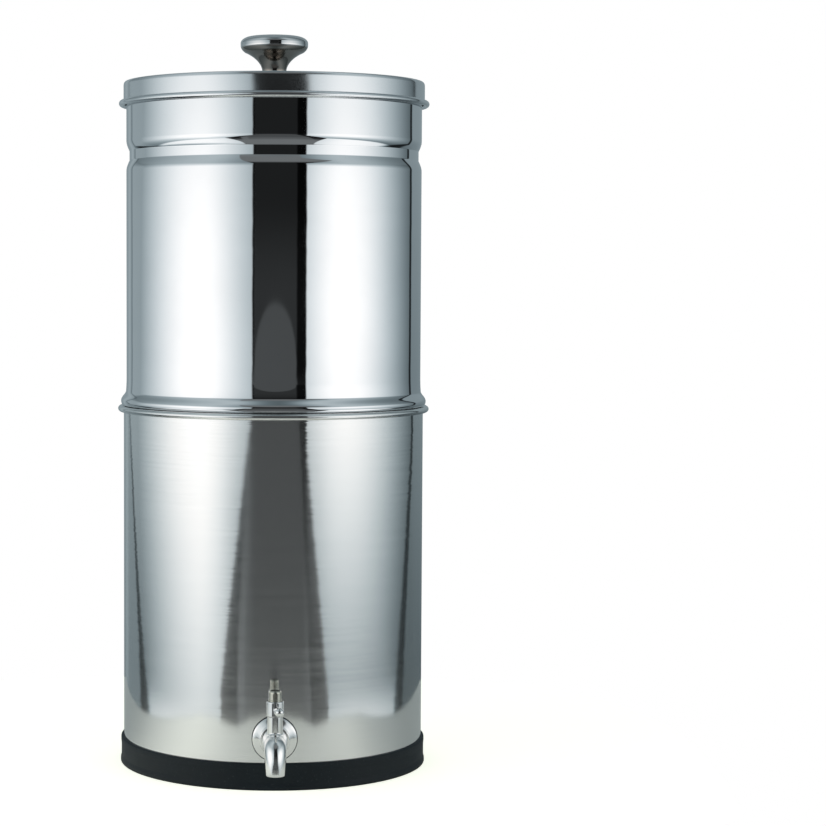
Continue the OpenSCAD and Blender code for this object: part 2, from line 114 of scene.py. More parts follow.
def curve(p0, p1, p2, p3, n):
    """Bezier curve."""
    out = []
    for i in range(n + 1):
        t = i / n
        s = 1 - t
        out.append(tuple(s ** 3 * a + 3 * s * s * t * b + 3 * s * t * t * c + t ** 3 * d
                         for a, b, c, d in zip(p0, p1, p2, p3)))
    return out


def tidy(points):
    """The outline without points that repeat."""
    out = []
    for p in points:
        if not out or math.dist(p, out[-1]) > SAME:
            out.append((float(p[0]), float(p[1])))
    if math.dist(out[0], out[-1]) < SAME:
        out.pop()
    return out


def sheet(path, t=SHEET_T):
    """Closed outline of sheet metal whose middle follows a path, with mitred corners."""
    p = np.array(tidy(path))
    d = np.diff(p, axis=0)
    d /= np.linalg.norm(d, axis=1)[:, None]
    left = np.stack([-d[:, 1], d[:, 0]], 1)
    n = np.vstack([left[:1] * 2, left[:-1] + left[1:], left[-1:] * 2])
    off = n / (n * n).sum(1)[:, None] * t
    return [tuple(v) for v in np.vstack([p + off, (p - off)[::-1]])]


# ---- Meshes ----
def new_mesh(name, verts, faces, normals=None):
    """A smooth-shaded object from points in metres. normals gives one normal for each face corner."""
    me = bpy.data.meshes.new(name)
    me.from_pydata([tuple(v) for v in verts], [], faces)
    me.validate()
    me.shade_smooth()
    if normals is not None and len(normals) == len(me.loops):
        me.normals_split_custom_set([tuple(n) for n in normals])
    me.update()
    ob = bpy.data.objects.new(name, me)
    bpy.context.scene.collection.objects.link(ob)
    return ob


def turned(outline, n=AROUND, sharp=28.0, skip=()):
    """Points, faces and corner normals of an outline (mm) turned around Z. Corners of more than sharp degrees stay
    sharp. skip lists edges of the outline that get no faces."""
    pts = tidy(outline)
    if sum(a[0] * b[1] - b[0] * a[1] for a, b in zip(pts, pts[1:] + pts[:1])) < 0:
        pts.reverse()
    p = np.array(pts)
    m = len(p)
    edge = np.roll(p, -1, 0) - p
    length = np.linalg.norm(edge, axis=1)
    out = np.stack([edge[:, 1], -edge[:, 0]], 1) / length[:, None]
    before, after = np.zeros((m, 2)), np.zeros((m, 2))
    for i in range(m):
        a, b = out[i - 1], out[i]
        if a @ b > math.cos(math.radians(sharp)):
            s = a * length[i - 1] + b * length[i]
            before[i] = after[i] = s / np.linalg.norm(s)
        else:
            before[i], after[i] = a, b
    ang = 2 * np.pi * np.arange(n) / n
    cos, sin = np.cos(ang), np.sin(ang)
    verts, first = [], []
    on_axis = p[:, 0] < ON_AXIS
    for (r, z), alone in zip(p, on_axis):
        first.append(len(verts))
        if alone:
            verts.append((0, 0, z * MM))
        else:
            verts += [(r * c * MM, r * s * MM, z * MM) for c, s in zip(cos, sin)]
    faces, normals = [], []

    def corner(i, k, nrm):
        k %= n
        if on_axis[i]:
            return first[i], (0.0, 0.0, math.copysign(1, nrm[1]))
        return first[i] + k, (nrm[0] * cos[k], nrm[0] * sin[k], nrm[1])

    def skipped(a, b):
        return any(max(math.dist(a, s), math.dist(b, t)) < SAME for one in skip for s, t in (one, one[::-1]))

    for i in range(m):
        j = (i + 1) % m
        if on_axis[i] and on_axis[j] or skipped(p[i], p[j]):
            continue
        for k in range(n):
            c = [corner(i, k, after[i]), corner(i, k + 1, after[i]),
                 corner(j, k + 1, before[j]), corner(j, k, before[j])]
            if on_axis[i]:
                c = [c[0], c[2], c[3]]
            elif on_axis[j]:
                c = c[:3]
            faces.append([x[0] for x in c])
            normals += [x[1] for x in c]
    return verts, faces, normals


def placed(part, matrix):
    """A part (points, faces, normals) moved by a matrix."""
    verts, faces, normals = part
    rot = matrix.to_3x3().normalized()
    return ([matrix @ Vector(v) for v in verts], faces, [rot @ Vector(n) for n in normals])


def joined(*parts):
    """Several parts as one."""
    verts, faces, normals = [], [], []
    for v, f, n in parts:
        k = len(verts)
        verts += list(v)
        faces += [[i + k for i in one] for one in f]
        normals += list(n)
    return verts, faces, normals


def swept(rings, capped=False):
    """Skin over rings of points (mm, same count in each), with corner normals from the skin's own slopes."""
    r = np.array(rings, float)
    m, n = r.shape[:2]
    fwd = np.zeros_like(r)
    for i in range(m):
        fwd[i] = r[min(i + 1, m - 1)] - r[max(i - 1, 0)]
    side = np.roll(r, -1, 1) - np.roll(r, 1, 1)
    nrm = np.cross(side, fwd)
    nrm /= np.maximum(np.linalg.norm(nrm, axis=2), 1e-12)[:, :, None]
    verts = [tuple(v * MM) for v in r.reshape(-1, 3)]
    faces, normals = [], []
    for i in range(m - 1):
        for k in range(n):
            q = (k + 1) % n
            faces.append([i * n + k, i * n + q, (i + 1) * n + q, (i + 1) * n + k])
            normals += [nrm[i, k], nrm[i, q], nrm[i + 1, q], nrm[i + 1, k]]
    if capped:
        first = list(range(n))
        faces += [first[::-1], [(m - 1) * n + k for k in first]]
        for d in (r[0].mean(0) - r[1].mean(0), r[-1].mean(0) - r[-2].mean(0)):
            normals += [tuple(d / np.linalg.norm(d))] * n
    return verts, faces, [tuple(x) for x in normals]


def tap_axis():
    """Places what is turned around Z on the tap's axis, with 0 at the wall and + to the front."""
    return Matrix.Translation((0, -WALL_R * MM, TAP_Z * MM)) @ Matrix.Rotation(math.radians(90), 4, "X")


def valve_axis():
    """Places what is turned around Z on the lever's axis."""
    return Matrix.Translation((0, -(WALL_R + VALVE_OUT) * MM, 0))


def piece(name, part, body, material, node):
    """A piece of the scene that rides on a body and stands in for a node of the frame."""
    ob = new_mesh(name, *part)
    ob.data.materials.append(material)
    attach(ob, body)
    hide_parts(node)


# ---- Materials ----
class Value:
    """A number that a material works out, so that sums of such numbers read as plain arithmetic."""

    def __init__(self, nodes, socket):
        self.nodes, self.socket = nodes, socket

    def __add__(self, other):
        return self.nodes.math("ADD", self, other)

    def __sub__(self, other):
        return self.nodes.math("SUBTRACT", self, other)

    def __rsub__(self, other):
        return self.nodes.math("SUBTRACT", other, self)

    def __mul__(self, other):
        return self.nodes.math("MULTIPLY", self, other)

    def __truediv__(self, other):
        return self.nodes.math("DIVIDE", self, other)

    __radd__, __rmul__ = __add__, __mul__


class Nodes:
    """A new node material, or a world, with short calls for the nodes that it needs."""

    def __init__(self, name, world=False):
        self.owner = (bpy.data.worlds if world else bpy.data.materials).new(name)
        self.owner.use_nodes = True
        self.t = self.owner.node_tree
        self.t.nodes.clear()
        self.out = self.t.nodes.new("ShaderNodeOutputWorld" if world else "ShaderNodeOutputMaterial")

    def put(self, socket, value):
        if isinstance(value, Value):
            value = value.socket
        if isinstance(value, bpy.types.NodeSocket):
            self.t.links.new(value, socket)
        else:
            socket.default_value = value

    def add(self, kind, values=(), settings=None, **named):
        """A node with its settings, its first inputs and some named ones. An underscore stands for a space."""
        node = self.t.nodes.new(kind)
        for key, value in (settings or {}).items():
            setattr(node, key, value)
        for i, value in enumerate(values):
            self.put(node.inputs[i], value)
        for key, value in named.items():
            self.put(node.inputs[key.replace("_", " ")], value)
        return node

    # Numbers
    def math(self, operation, *values):
        return Value(self, self.add("ShaderNodeMath", values, {"operation": operation}).outputs[0])

    def most(self, a, b):
        return self.math("MAXIMUM", a, b)

    def least(self, a, b):
        return self.math("MINIMUM", a, b)

    def between(self, share, a, b):
        """From a, where share is 0, to b, where it is 1."""
        return a * (1.0 - share) + b * share

    def ramp(self, value, low, high, out_low=0.0, out_high=1.0, smooth=True):
        """From out_low, where value is low or less, to out_high, where it is high or more."""
        kind = "SMOOTHSTEP" if smooth else "LINEAR"
        node = self.add("ShaderNodeMapRange", (value, low, high, out_low, out_high), {"interpolation_type": kind})
        return Value(self, node.outputs[0])

    def bell(self, value, centre, low_width, high_width):
        """Bell curve with its own width on each side."""
        away = value - centre
        low, high = self.least(away, 0.0) / low_width, self.most(away, 0.0) / high_width
        return self.math("EXPONENT", (low * low + high * high) * -0.5)

    def noise(self, scale, detail, rough, stretch=None):
        """Noise in the object's own coordinates, with scale waves per metre. stretch multiplies them axis by axis."""
        where = self.coords() if stretch is None else self.vec("MULTIPLY", self.coords(), stretch)
        node = self.add("ShaderNodeTexNoise", Vector=where, Scale=scale, Detail=detail, Roughness=rough)
        return Value(self, node.outputs[0])

    def xyz(self, vector):
        return [Value(self, out) for out in self.add("ShaderNodeSeparateXYZ", (vector,)).outputs]

    def around(self, x, y):
        """Degrees around the upright axis from the front, minus to the left."""
        return self.math("ARCTAN2", x, y * -1.0) * math.degrees(1)

    def light_path(self):
        return {out.name: Value(self, out) for out in self.t.nodes.new("ShaderNodeLightPath").outputs}

    # Vectors and colours
    def coords(self):
        return self.t.nodes.new("ShaderNodeTexCoord").outputs["Object"]

    def normal(self):
        return self.t.nodes.new("ShaderNodeNewGeometry").outputs["Normal"]

    def vec(self, operation, a, b=(0, 0, 0)):
        """Vector arithmetic, where b is the factor of SCALE."""
        node = self.add("ShaderNodeVectorMath", (a,), {"operation": operation})
        self.put(node.inputs["Scale" if operation == "SCALE" else 1], b)
        return Value(self, node.outputs[1]) if operation == "LENGTH" else node.outputs[0]

    def bump(self, height, strength, distance, **normal):
        return self.add("ShaderNodeBump", Strength=strength, Distance=distance, Height=height, **normal).outputs[0]

    def mix(self, share, a, b):
        """From colour a, where share is 0, to colour b, where it is 1."""
        node = self.add("ShaderNodeMix", (share,), {"data_type": "RGBA"})
        self.put(node.inputs[6], a)
        self.put(node.inputs[7], b)
        return node.outputs[2]

    # Shaders
    def principled(self, **values):
        return self.add("ShaderNodeBsdfPrincipled", **values).outputs[0]

    def finish(self, shader):
        """The finished material or world."""
        self.t.links.new(shader, self.out.inputs["Surface"])
        return self.owner


def rgb(r, g, b):
    return (r, g, b, 1.0)


def shade(base, factor):
    """A colour made darker or lighter."""
    return rgb(*[c * factor for c in base])


def swayed(s, amount, stretch):
    """The surface normal, tipped sideways along the wall by stretched noise, as rolling and brushing leave it."""
    normal = s.normal()
    along = s.vec("CROSS_PRODUCT", normal, (0.0, 0.0, 1.0))
    tip = (s.noise(1.0, 2.0, 0.5, stretch) - 0.5) * amount
    return s.vec("NORMALIZE", s.vec("ADD", normal, s.vec("SCALE", along, tip)))


def polished(name, base, rough, wave, smudge, under=None, neck_r=0.0):
    """Polished steel. wave tips its reflections sideways, and smudge dulls cloudy patches. under is a darker colour
    painted as shade on what faces down or lies within neck_r of the middle."""
    neck_edge = 0.004
    s = Nodes(name)
    clouds = s.noise(18.0, 3.0, 0.6)
    hairs = s.noise(1.0, 3.0, 0.6, (60.0, 60.0, 2600.0))
    roughness = s.ramp(clouds, 0.35, 0.75) * smudge + (hairs * 0.02 + rough)
    tint = s.mix(s.ramp(clouds, 0.3, 0.7), shade(base, 0.965), rgb(*base))
    # Painted shade: what faces down, and the narrow neck, take the darker under colour
    if under:
        shade_facing_down = s.ramp(s.xyz(s.normal())[2], -0.45, -0.15, 1.0, 0.0)
        off_axis = s.vec("LENGTH", s.vec("MULTIPLY", s.coords(), (1.0, 1.0, 0.0)))
        shade_at_neck = s.ramp(off_axis, neck_r, neck_r + neck_edge, 1.0, 0.0)
        tint = s.mix(s.most(shade_facing_down, shade_at_neck), tint, rgb(*under))
    ripple = s.bump(s.noise(26.0, 1.0, 0.4), 0.04, 0.0006, Normal=swayed(s, wave, (3.0, 3.0, 55.0)))
    return s.finish(s.principled(Base_Color=tint, Metallic=1.0, Roughness=roughness, Normal=ripple))


def brushed(name, base):
    """Steel with fine lines brushed around the wall: a mirror that also spreads some light up and down."""
    s = Nodes(name)
    lines = s.noise(1.0, 4.0, 0.7, (14.0, 14.0, 2400.0))
    streaks = s.ramp(s.noise(1.0, 5.0, 0.8, (11.0, 11.0, 620.0)), 0.36, 0.64)
    broad = s.noise(1.0, 2.0, 0.5, (7.0, 7.0, 160.0))
    tint = s.mix(s.ramp(lines, 0.3, 0.7), shade(base, 0.985), shade(base, 1.01))
    around = s.add("ShaderNodeTangent", settings={"direction_type": "RADIAL", "axis": "Z"}).outputs[0]
    both = {"Base_Color": tint, "Metallic": 1.0, "Normal": swayed(s, 0.06, (9.0, 9.0, 1300.0)),
            "Tangent": around, "Anisotropic_Rotation": 0.25}
    clear = s.principled(Roughness=lines * 0.03 + 0.055, Anisotropic=0.7, **both)
    spread = s.principled(Roughness=0.27, Anisotropic=1.0, **both)
    share = streaks * 0.10 + (broad * 0.05 + 0.14)
    return s.finish(s.add("ShaderNodeMixShader", (share, clear, spread)).outputs[0])


def machined(name, base):
    s = Nodes(name)
    grain = s.noise(900.0, 3.0, 0.6)
    tint = s.mix(s.noise(70.0, 2.0, 0.5), shade(base, 0.82), rgb(*base))
    return s.finish(s.principled(Base_Color=tint, Metallic=1.0, Roughness=grain * 0.12 + 0.24,
                                 Normal=s.bump(grain, 0.15, 0.0001)))


def rubber(name, base):
    s = Nodes(name)
    fine, broad = s.noise(1500.0, 3.0, 0.65), s.noise(45.0, 3.0, 0.55)
    specks = s.ramp(s.noise(1100.0, 1.0, 0.5), 0.66, 0.78) * 0.5
    tint = s.mix(specks, s.mix(broad, shade(base, 0.75), shade(base, 1.2)), rgb(0.07, 0.08, 0.085))
    return s.finish(s.principled(Base_Color=tint, Roughness=broad * 0.15 + 0.48, Specular_IOR_Level=0.28,
                                 Normal=s.bump(fine, 0.35, 0.0003)))


def pressed_carbon(name, base):
    s = Nodes(name)
    grain = s.noise(520.0, 4.0, 0.75)
    pores = s.ramp(s.noise(260.0, 2.0, 0.6), 0.28, 0.42)
    tint = s.mix(pores, rgb(0.012, 0.012, 0.013), s.mix(grain, shade(base, 0.6), shade(base, 1.5)))
    return s.finish(s.principled(Base_Color=tint, Roughness=grain * 0.2 + 0.7, Normal=s.bump(grain, 0.6, 0.0008)))


def moulded(name, base):
    s = Nodes(name)
    grain = s.noise(1300.0, 2.0, 0.5)
    tint = s.mix(s.noise(30.0, 2.0, 0.5), shade(base, 0.85), shade(base, 1.15))
    return s.finish(s.principled(Base_Color=tint, Roughness=grain * 0.12 + 0.34,
                                 Normal=s.bump(grain, 0.2, 0.00015)))


STEEL = (0.78, 0.79, 0.80)
M_MIRROR = polished("polished_steel", STEEL, rough=0.02, wave=0.012, smudge=0.02)
M_LID = polished("polished_steel_lid", STEEL, rough=0.12, wave=0.03, smudge=0.05)
# The knob's under colour is painted shade on its underside and neck
M_KNOB = polished("polished_steel_knob", (0.70, 0.70, 0.70), rough=0.07, wave=0.0, smudge=0.03,
                  under=(0.30, 0.27, 0.24), neck_r=0.012)
M_TAP = polished("polished_steel_tap", (0.82, 0.82, 0.81), rough=0.10, wave=0.0, smudge=0.05)
M_CAP = polished("polished_steel_cap", (0.60, 0.58, 0.50), rough=0.14, wave=0.0, smudge=0.04)
M_BRUSHED = brushed("brushed_steel", (0.80, 0.80, 0.79))
M_PLAIN = machined("plain_steel", (0.62, 0.62, 0.63))
M_RUBBER = rubber("rubber", (0.006, 0.012, 0.016))
M_CARBON = pressed_carbon("carbon", (0.05, 0.05, 0.055))
M_PLASTIC = moulded("black_plastic", (0.06, 0.062, 0.066))

BY_SLOT = {"polished_steel": M_MIRROR, "brushed_steel": M_BRUSHED, "plain_steel": M_PLAIN, "rubber": M_RUBBER,
           "carbon": M_CARBON, "black_plastic": M_PLASTIC}
for row in frame["record"]["subparts"]:
    ob = frame["nodes"][row["node"]]
    ob.data.materials.clear()
    ob.data.materials.append(BY_SLOT[row["material_slot"]])


# ---- Chambers, lid, knob and ring ----
def lower_chamber():
    foot_z, corner = LEDGE_T + SHEET_T / 2, 4.5
    floor_up, floor_in, foot_in = 4, 22, 17  # the floor is raised inside the foot that stands on the ledge
    path = ([(0, foot_z + floor_up), (WALL_R - floor_in, foot_z + floor_up), (WALL_R - foot_in, foot_z)]
            + arc(WALL_MID - corner, foot_z + corner, corner, corner, -90, 0, 12)
            + arc(WALL_MID + RIM_OUT / 2, LOWER_H - RIM_H / 2, RIM_OUT / 2, (RIM_H - SHEET_T) / 2, 180, -110, 60))
    return turned(sheet(path))


FLOOR_HOLES = [(-STEM_OUT, 0), (STEM_OUT, 0), (0, -STEM_OUT), (0, STEM_OUT)]
FLOOR_PLATE_R, HOLE_PLAY = 80.0, 0.6


def holed_plate(z0, z1, outer_r, holes, hole_r, around, steps=48):
    """Flat plate between two heights (mm) with round holes. Its outer edge is left open, to meet the turned part."""

    def circle(x, y, r, n):
        turns = [2 * math.pi * k / n for k in range(n)]
        return [Vector((x + r * math.cos(a), y + r * math.sin(a), 0)) for a in turns]

    loops = [circle(0, 0, outer_r, around)] + [circle(x, y, hole_r, steps) for x, y in holes]
    flat = [p for loop in loops for p in loop]
    n = len(flat)
    verts = [(p.x * MM, p.y * MM, z * MM) for z in (z1, z0) for p in flat]
    faces, normals = [], []
    for a, b, c in geometry.tessellate_polygon(loops):
        up = (flat[b] - flat[a]).cross(flat[c] - flat[a]).z
        if abs(up) < 1e-9:
            continue
        if up < 0:
            b, c = c, b
        faces += [[a, b, c], [a + n, c + n, b + n]]
        normals += [(0, 0, 1)] * 3 + [(0, 0, -1)] * 3
    start = around
    for x, y in holes:
        for k in range(steps):
            q = (k + 1) % steps
            ids = [start + k, start + q, start + q + n, start + k + n]
            faces.append(ids)
            for i in ids:
                p = flat[i % n]
                normals.append(((x - p.x) / hole_r, (y - p.y) / hole_r, 0))
        start += steps
    return verts, faces, normals


def upper_chamber():
    floor_mid, corner = FLOOR_Z + SHEET_T / 2, 5.0
    seat_z, seat_in, nose = LOWER_H + 0.05 + SHEET_T / 2, 1.5, 1.6  # bead's underside, and its rounds
    bead_z = seat_z + SEAT_ROUND
    slope_top = bead_z + SEAT_SLOPE_H
    lean, lean_h, steps = 0.45, 11.0, 12  # how much and how high the wall leans out above the bead's slope
    band_r, edge = UPPER_MID - BAND_DEPTH, 0.5  # the band's flat starts a little inside its creases
    band_low, band_top = LID_TOP - BAND_DROP - BAND_FLAT_H / 2, LID_TOP - BAND_DROP + BAND_FLAT_H / 2
    fold_r, fold_z, fold_end = 0.55, LID_TOP - 4.4, LID_TOP - 9.0
    path = ([(FLOOR_PLATE_R, floor_mid)]
            + arc(UPPER_MID - corner, floor_mid + corner, corner, corner, -90, 0, 12)
            + arc(UPPER_MID + seat_in, seat_z - seat_in, seat_in, seat_in, 180, 90, 10)
            + arc(UPPER_MID + SEAT_OUT - nose, bead_z, nose, SEAT_ROUND, -90, -15, 14)
            + flare(UPPER_MID + SEAT_OUT, bead_z, UPPER_MID + lean, slope_top, 24)
            + [(UPPER_MID + lean * (1 - i / steps) ** 2, slope_top + lean_h * i / steps) for i in range(steps + 1)]
            + dent(UPPER_MID, band_low - BAND_SLOPE_H, band_r, band_low, 28)
            + [(band_r, band_low + edge), (band_r, band_top - edge)]
            + dent(UPPER_MID, band_top + BAND_SLOPE_H, band_r, band_top, 28)[::-1]
            + arc(UPPER_MID + fold_r, fold_z, fold_r, fold_r, 180, 0, 12)
            + [(UPPER_MID + 2 * fold_r, fold_end)])
    gap = [((FLOOR_PLATE_R, FLOOR_Z + SHEET_T), (FLOOR_PLATE_R, FLOOR_Z))]
    return joined(turned(sheet(path), skip=gap),
                  holed_plate(FLOOR_Z, FLOOR_Z + SHEET_T, FLOOR_PLATE_R, FLOOR_HOLES, STEM_R + HOLE_PLAY, AROUND))


def lid():
    screw_hole_r, corner = 3.3, 1.2
    path = ([(screw_hole_r, LID_TOP - SHEET_T / 2)]
            + arc(WALL_MID - corner, LID_TOP - LID_ROUND, corner, LID_ROUND - SHEET_T / 2, 90, 0, 16)
            + arc(WALL_MID + LID_EDGE_OUT / 2, LID_TOP - LID_EDGE_DROP,
                  LID_EDGE_OUT / 2, (LID_EDGE_H - SHEET_T) / 2, 180, 460, 60))
    return turned(sheet(path))


def lid_knob():
    bore_r, bore_h = 3.05, 14.0
    foot_r = KNOB_NECK_R + 3.4
    neck_z = 8.8
    rim_low, rim_high, crown = KNOB_H - 7.6, KNOB_H - 6.0, 0.6
    under = (KNOB_R - 12.8, 12.8, 8.2)  # centre and radii of the round below the rim
    join_at = math.radians(-44)
    join = (under[0] + under[1] * math.cos(join_at), rim_low + under[2] * math.sin(join_at))
    flat_r = KNOB_R - 9.5
    outline = ([(bore_r, 0), (foot_r, 0)]
               + curve((foot_r, 1.2), (foot_r - 1.5, 2.2), (KNOB_NECK_R, 3.5), (KNOB_NECK_R, 6.0), 16)
               + curve((KNOB_NECK_R, neck_z), (KNOB_NECK_R, neck_z + 6.4), (join[0] - 7.6, join[1] - 3.3), join, 30)
               + arc(under[0], rim_low, under[1], under[2], -43, 0, 18)
               + arc(flat_r, rim_high, KNOB_R - flat_r, KNOB_H - crown - rim_high, 0, 85, 30)
               + arc(0, KNOB_H - crown, flat_r, crown, 20, 90, 8)
               + [(0, bore_h), (bore_r, bore_h)])
    verts, faces, normals = turned(outline, 160)
    return [(x, y, z + LID_TOP * MM) for x, y, z in verts], faces, normals


def base_ring():
    outer = WALL_R + RING_T
    foot, waist, corner, play = outer + 0.4, outer - 0.3, 1, 0.05
    outline = ([(WALL_R - LEDGE_W, LEDGE_T), (WALL_R - LEDGE_W, 0.0)]
               + arc(foot - corner, corner, corner, corner, -90, 0, 10)
               + ease(foot, 2.2, waist, 6.2, 14)
               + ease(waist, RING_H - 7.2, outer, RING_H - 3.2, 14)
               + arc(outer - corner, RING_H - corner, corner, corner, 0, 90, 10)
               + [(WALL_R + play, RING_H), (WALL_R + play, LEDGE_T)])
    return turned(outline)


# ---- Tap ----
def spout_ring(top, low, r, n):
    """Ring between two points (out from the wall, up) of the spout's side view, with its own radius across."""
    out = []
    for j in range(n):
        b = 2 * math.pi * j / n
        forward, up = [(t + w) / 2 + (t - w) / 2 * math.sin(b) for t, w in zip(top, low)]
        out.append((r * math.cos(b), -WALL_R - forward, up))
    return out


def level_ring(f, z, r, n):
    """Level ring around a point f out from the wall."""
    return spout_ring((f + r, z), (f - r, z), r, n)


def tap_spout(n=SMALL_AROUND):
    """Barrel, bend and spout as one skin, with the way for the water inside."""
    start, barrel_steps, steps = ESCUTCHEON_FRONT + 1, 8, 40
    lip_r, lip_z = SPOUT_R - 0.25, SPOUT_Z + 1.2
    low_out, low_r, side_r = BEND_OUT - 6.0, BEND_R + 0.2, BEND_R + 0.1  # where the underside starts to bend
    # Top and underside of the bend in the side view, and its radius across
    over = curve((BEND_OUT, TAP_Z + BEND_R), (BEND_OUT + 12.5, TAP_Z + BEND_R),
                 (SPOUT_OUT + lip_r - 0.95, lip_z + 16.0), (SPOUT_OUT + lip_r, lip_z), steps)
    under = curve((low_out, TAP_Z - low_r), (low_out + 3.0, TAP_Z - BEND_R),
                  (SPOUT_OUT - lip_r - 2.2, lip_z + 6.0), (SPOUT_OUT - lip_r, lip_z), steps)
    across = [r for r, _ in curve((side_r, 0), (8.0, 0), (8.6, 0), (lip_r, 0), steps)]
    rings = []
    for i in range(barrel_steps):
        t = i / barrel_steps
        top = (start + (BEND_OUT - start) * t, TAP_Z + BARREL_R + (BEND_R - BARREL_R) * t)
        low = (start + (low_out - start) * t, TAP_Z - BARREL_R - (low_r - BARREL_R) * t)
        rings.append(spout_ring(top, low, BARREL_R + (side_r - BARREL_R) * t, n))
    rings += [spout_ring(top, low, r, n) for top, low, r in zip(over, under, across)]
    # The rounded lip, as height and how far it is inside the spout's outside
    for z, d in ((0.8, 0.31), (0.45, 0.42), (0.2, 0.58), (0.06, 0.76), (0.0, 0.9)):
        rings.append(level_ring(SPOUT_OUT, SPOUT_Z + z, SPOUT_R - d, n))
    chamfer, chamfer_h, mouth_h = 0.15, 0.2, 6
    skins = [rings]
    for more in ([(SPOUT_OUT, SPOUT_Z, MOUTH_R + chamfer), (SPOUT_OUT, SPOUT_Z + chamfer_h, MOUTH_R)],
                 [(SPOUT_OUT, SPOUT_Z + mouth_h, MOUTH_R)], [(SPOUT_OUT, SPOUT_Z + mouth_h, INLET_R)],
                 [(PIPE_OUT, TAP_Z, INLET_R)]):
        skins.append([skins[-1][-1]] + [level_ring(*one, n) for one in more])
    verts, faces, normals = joined(*[swept(skin) for skin in skins])
    # The two ends inside other metal get caps
    last = len(verts) - n
    faces += [list(range(n))[::-1], [last + k for k in range(n)]]
    normals += [(0, 1, 0)] * n + [(0, 0, -1)] * n
    return verts, faces, normals


def tower_foot(spout, reach=1.3, n=SMALL_AROUND, steps=7):
    """Small fillet between the tower and the barrel below it, found by rays from above."""
    tree = BVHTree.FromPolygons([tuple(v) for v in spout[0]], spout[1])
    y0, above, bury = -(WALL_R + VALVE_OUT), 80, 0.02
    rings = [[] for _ in range(steps + 1)]
    for k in range(n):
        a = 2 * math.pi * k / n
        c, s = math.cos(a), math.sin(a)

        def top(r):
            hit = tree.ray_cast(Vector((r * c * MM, (y0 + r * s) * MM, above * MM)), Vector((0, 0, -1)))[0]
            return hit.z / MM if hit else TAP_Z + 5

        foot, toe = top(TOWER_R), top(TOWER_R + reach)
        corners = ((TOWER_R - bury, foot + reach), (TOWER_R, foot), (TOWER_R + reach, toe - bury))
        for i in range(steps + 1):
            t = i / steps
            r, z = [(1 - t) ** 2 * p0 + 2 * t * (1 - t) * p1 + t * t * p2 for p0, p1, p2 in zip(*corners)]
            rings[i].append((r * c, y0 + r * s, z))
    return swept(rings[::-1])


def tap_tower():
    start, bore, edge, chamfer = TAP_Z + 3, 4.9, 0.35, 0.2
    outline = ([(bore, start), (TOWER_R, start)]
               + arc(TOWER_R - edge, TOWER_TOP - edge, edge, edge, 0, 90, 6)
               + [(bore + chamfer, TOWER_TOP), (bore, TOWER_TOP - chamfer)])
    return placed(turned(outline, SMALL_AROUND), valve_axis())


def tower_lug(n=12):
    """The stop on the tower's top, at its back."""
    from_angle, angle = 75, 30
    r0, r1, z0, z1 = 5.0, TOWER_R - 0.1, TOWER_TOP - 0.5, TOWER_TOP + 1.2
    rings = []
    for i in range(n + 1):
        a = math.radians(from_angle + angle * i / n)
        c, s = math.cos(a), math.sin(a)
        rings.append([(r * c, -WALL_R - VALVE_OUT + r * s, z) for r, z in ((r0, z0), (r0, z1), (r1, z1), (r1, z0))])
    verts, faces, _ = swept(rings, capped=True)
    flat = []
    for f in faces:
        p = [Vector(verts[i]) for i in f]
        flat += [tuple((p[1] - p[0]).cross(p[2] - p[0]).normalized())] * len(f)
    return verts, faces, flat


def tap_shoulder():
    back, front, r, chamfer = ESCUTCHEON_FRONT, ESCUTCHEON_FRONT + SHOULDER_T, 1.2, 0.3
    outline = ([(0, back), (SHOULDER_R - chamfer, back), (SHOULDER_R, back + chamfer)]
               + arc(SHOULDER_R - r, front - r, r, r, 0, 90, 12) + [(0, front)])
    return placed(turned(outline, 128), tap_axis())


def threads(r, depth, pitch, z0, z1):
    """Outline points of ridges along a screw, from z0 to z1."""
    root, rise, crest = 0.15, 0.5, 0.65  # where a ridge's root ends, its crest starts and its crest ends
    out, z = [], z0
    while z + pitch <= z1:
        out += [(r - depth, z), (r - depth, z + root * pitch), (r, z + rise * pitch), (r, z + crest * pitch)]
        z += pitch
    return out + [(r - depth, z), (r - depth, z1)]


def tap_tail():
    front, chamfer, depth, pitch = ESCUTCHEON_FRONT + 0.2, 0.8, 0.6, 1.5
    outline = ([(INLET_R, -TAIL_IN), (TAIL_R - chamfer, -TAIL_IN)]
               + threads(TAIL_R, depth, pitch, -TAIL_IN + 0.4, -0.6)
               + [(TAIL_R, -0.4), (TAIL_R, front), (INLET_R, front)])
    return placed(turned(outline, 72, sharp=12), tap_axis())


def escutcheon():
    hole_r, chamfer, top_r = TAIL_R + 0.2, 0.2, 11.3
    outline = ([(hole_r, GASKET_FRONT), (FLANGE_R - chamfer, GASKET_FRONT), (FLANGE_R, GASKET_FRONT + chamfer)]
               + curve((FLANGE_R, GASKET_FRONT + 0.4), (FLANGE_R, GASKET_FRONT + 1.4),
                       (FLANGE_R - 1.4, GASKET_FRONT + 1.55), (top_r, ESCUTCHEON_FRONT), 26)
               + [(hole_r, ESCUTCHEON_FRONT)])
    return placed(turned(outline, 160), tap_axis())


